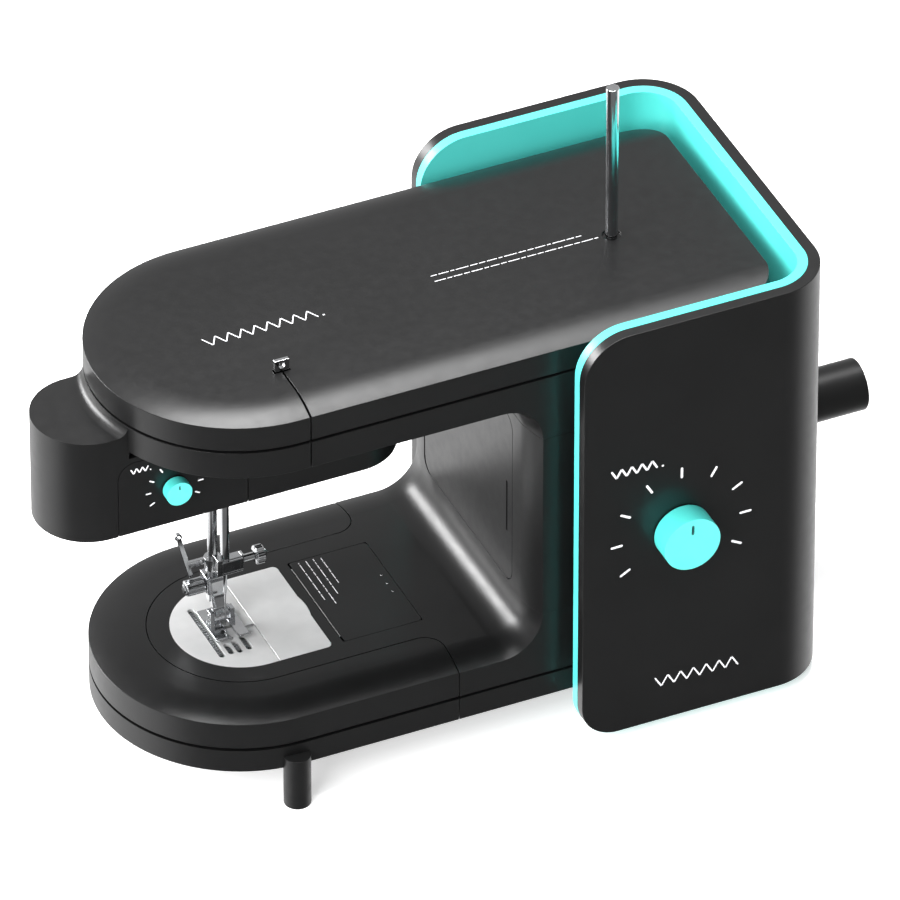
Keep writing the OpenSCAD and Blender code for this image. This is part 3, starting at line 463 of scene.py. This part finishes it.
def knurled(bm, at, axis, length, radius, depth, teeth, cap=0.8):
    """Thumb-screw head with straight knurls and bevelled ends."""
    a = Vector(axis).normalized()
    u = a.orthogonal().normalized()
    v = a.cross(u)
    n = teeth * 4
    rings = []
    for along, grow, cut in (
        (0, -cap, 0.0), (cap * 0.6, 0, 1.0), (length - cap * 0.6, 0, 1.0), (length, -cap, 0.0)
    ):
        ring = []
        for i in range(n):
            t = 2 * math.pi * i / n
            r = radius + grow - depth * cut * (0.5 - 0.5 * math.cos(t * teeth))
            ring.append(
                bm.verts.new(P(*at) + a * mm(along) + (u * math.cos(t) + v * math.sin(t)) * mm(r))
            )
        rings.append(ring)
    for p, q in zip(rings, rings[1:]):
        for i in range(n):
            bm.faces.new((p[i], p[(i + 1) % n], q[(i + 1) % n], q[i]))
    bm.faces.new(rings[0])
    bm.faces.new(rings[-1])


bm = bmesh.new()
lathe(bm, [(-5.7, 1.3), (7.2, 1.3), (7.2, 1.9), (8.4, 1.9)], CLAMP_SCREW_AT, ALONG_X, 32)
lathe(bm, [(1.5, 1.9), (7.9, 1.9)], CLAMP_SCREW_AT, ALONG_X, 32)
knurled(bm, (7.8, 0, 40.6), ALONG_X, 4.6, 5, 0.35, 22)
lathe(bm, [(12.2, 2.6), (13.0, 2.6), (13.8, 1.8)], CLAMP_SCREW_AT, ALONG_X, 32)
chrome("needle_clamp_thumb_screw", bm, "needle_drive", "needle_clamp_screw", angle=35)

bm = bmesh.new()
lathe(bm, [(-13.6, 1.4), (-11.2, 1.4)], FOOT_SCREW_AT, ALONG_X, 32)
knurled(bm, (-23.4, PRESSER_Y, 18), ALONG_X, 10, 4.2, 0.22, 26, cap=0.7)
lathe(bm, [(-24.4, 1.9), (-23.9, 2.6), (-23.2, 2.6)], FOOT_SCREW_AT, ALONG_X, 32)
chrome("foot_thumb_screw", bm, "presser", "foot_screw", angle=35)


def swept(bm, path, x0, x1):
    """Closed side outline [(y, z)] carried from x0 to x1."""
    prism(bm, path, x1 - x0, lambda u, v, w: P(x0 + w, u, v))


# Foot holder: clamp block, curved front plate and fork.
bm = bmesh.new()
box(bm, (-13.4, 10.6, 14.2), (-3.2, 20.2, 24))
swept(
    bm,
    [(10.8, 22.6), (9.4, 22.6), (8.9, 16), (8.2, 11.5), (6.4, 8.2), (3.4, 6.6), (3.4, 4.6),
     (6.6, 4.6), (9.2, 7.2), (10.4, 11), (10.8, 15)],
    -12, -4.6,
)
box(bm, (-12.6, 10.4, 10), (-4, 14.4, 14.6))
chrome("foot_holder_body", bm, "presser", "foot_holder", bevel=0.4, segments=3)

# Sewing foot: sole in two arms with turned-up toes, lugs, cross pin and side pin.
bm = bmesh.new()
toe_side = [
    (3.4, 2.7), (-8, 2.7), (-11.4, 3.1), (-13.6, 4.4), (-14.3, 4.9), (-14.7, 4.1), (-13.9, 3.2),
    (-11.5, 1.6), (-8, 0.95), (3.4, 0.95),
]
swept(bm, toe_side, -18.2, -10.2)
swept(bm, toe_side, -6.4, -0.4)
box(bm, (-18.2, 3.2, 0.95), (-0.4, 15, 2.6))
box(bm, (-15, 3.4, 2.2), (-12.5, 8, 7.8))
box(bm, (-4.1, 3.4, 2.2), (-1.6, 8, 7.8))
chrome("sewing_foot", bm, "presser_foot", "presser_foot", bevel=0.35, segments=3)
bm = bmesh.new()
lathe(bm, [(-15.4, 0.7), (-15.0, 1.0), (-1.6, 1.0), (-1.2, 0.7)], (0, 5.4, 5.4), ALONG_X, 24)
lathe(bm, [(-0.8, 0.85), (3.8, 0.85), (4.3, 0.45)], (0, -6, 1.85), ALONG_X, 24)
chrome("foot_pins", bm, "presser_foot", angle=35)

# Needle: one turned piece with point, blade, tapered shoulder and round shank.
bm = bmesh.new()
lathe(
    bm,
    [(1.3, 0.05), (3.6, 0.42), (21, 0.5), (23.6, 1.0), (36, 1.0)],
    (NEEDLE_X, 0, 0), (0, 0, 1), 24,
)
chrome("needle_blade", bm, "needle_drive", "needle", angle=35)

# ---------------------------------------------------------------- floor, light
bm = bmesh.new()
floor_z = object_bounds()[0].z
bmesh.ops.create_grid(bm, x_segments=2, y_segments=2, size=14)
for v in bm.verts:
    v.co.z = floor_z
data = bpy.data.meshes.new("floor")
bm.to_mesh(data)
bm.free()
floor = bpy.data.objects.new("floor", data)
bpy.context.scene.collection.objects.link(floor)
fm, _, fb = new_material("floor")
fb.inputs["Base Color"].default_value = (0.93, 0.93, 0.93, 1)
fb.inputs["Roughness"].default_value = 0.9
fb.inputs["Specular IOR Level"].default_value = 0.0
fb.inputs["Emission Color"].default_value = (1, 1, 1, 1)
fb.inputs["Emission Strength"].default_value = 0.5
data.materials.append(fm)
floor.visible_glossy = False

world = bpy.data.worlds.new("studio")
bpy.context.scene.world = world
world.use_nodes = True
wt = world.node_tree
wt.nodes["Background"].inputs["Color"].default_value = (1, 1, 1, 1)
toward = wt.nodes.new("ShaderNodeTexCoord").outputs["Generated"]


def lobe(axis, near, far, lit, dark):
    """Sky brightness that goes from lit to dark as the direction turns to axis."""
    dot = wt.nodes.new("ShaderNodeVectorMath")
    dot.operation = "DOT_PRODUCT"
    dot.inputs[1].default_value = Vector(axis).normalized()
    wt.links.new(toward, dot.inputs[0])
    r = wt.nodes.new("ShaderNodeMapRange")
    r.interpolation_type = "SMOOTHSTEP"
    for key, value in (
        ("From Min", near), ("From Max", far), ("To Min", lit), ("To Max", dark)
    ):
        r.inputs[key].default_value = value
    wt.links.new(dot.outputs["Value"], r.inputs["Value"])
    return r.outputs["Result"]


# The sky is dim towards the front and below, and bright low on the right and the left back.
both = wt.nodes.new("ShaderNodeMath")
low = wt.nodes.new("ShaderNodeMath")
wt.links.new(lobe((0.25, -0.80, -0.55), -0.45, 0.75, 0.46, 0.19), both.inputs[0])
wt.links.new(lobe((0.80, 0.35, -0.50), 0.55, 0.97, 0.0, 1.2), both.inputs[1])
wt.links.new(both.outputs[0], low.inputs[0])
wt.links.new(lobe((-0.60, 0.52, -0.60), 0.55, 0.95, 0.0, 1.2), low.inputs[1])
wt.links.new(low.outputs[0], wt.nodes["Background"].inputs["Strength"])


def softbox(name, direction, distance, size, radiance):
    """Area light seen from the object in a direction, at a distance and size in metres."""
    light = bpy.data.lights.new(name, "AREA")
    light.shape = "RECTANGLE"
    light.size, light.size_y = size
    light.energy = radiance * math.pi * size[0] * size[1]
    o = bpy.data.objects.new(name, light)
    bpy.context.scene.collection.objects.link(o)
    d = Vector(direction).normalized()
    o.location = P(60, 0, 60) + d * distance
    o.rotation_mode = "QUATERNION"
    o.rotation_quaternion = (-d).to_track_quat("-Z", "Y")
    return o


softbox("over", (-0.02, 0.12, 0.98), 2.4, (1.9, 1.1), 14.0)
softbox("left_back", (-0.62, 0.70, 0.33), 2.6, (1.5, 0.8), 20.0)
fill = softbox("fill", (-0.80, -0.46, 0.50), 3.0, (2.2, 2.2), 8.5)
fill.visible_glossy = False
bpy.context.scene.view_settings.view_transform = "Standard"
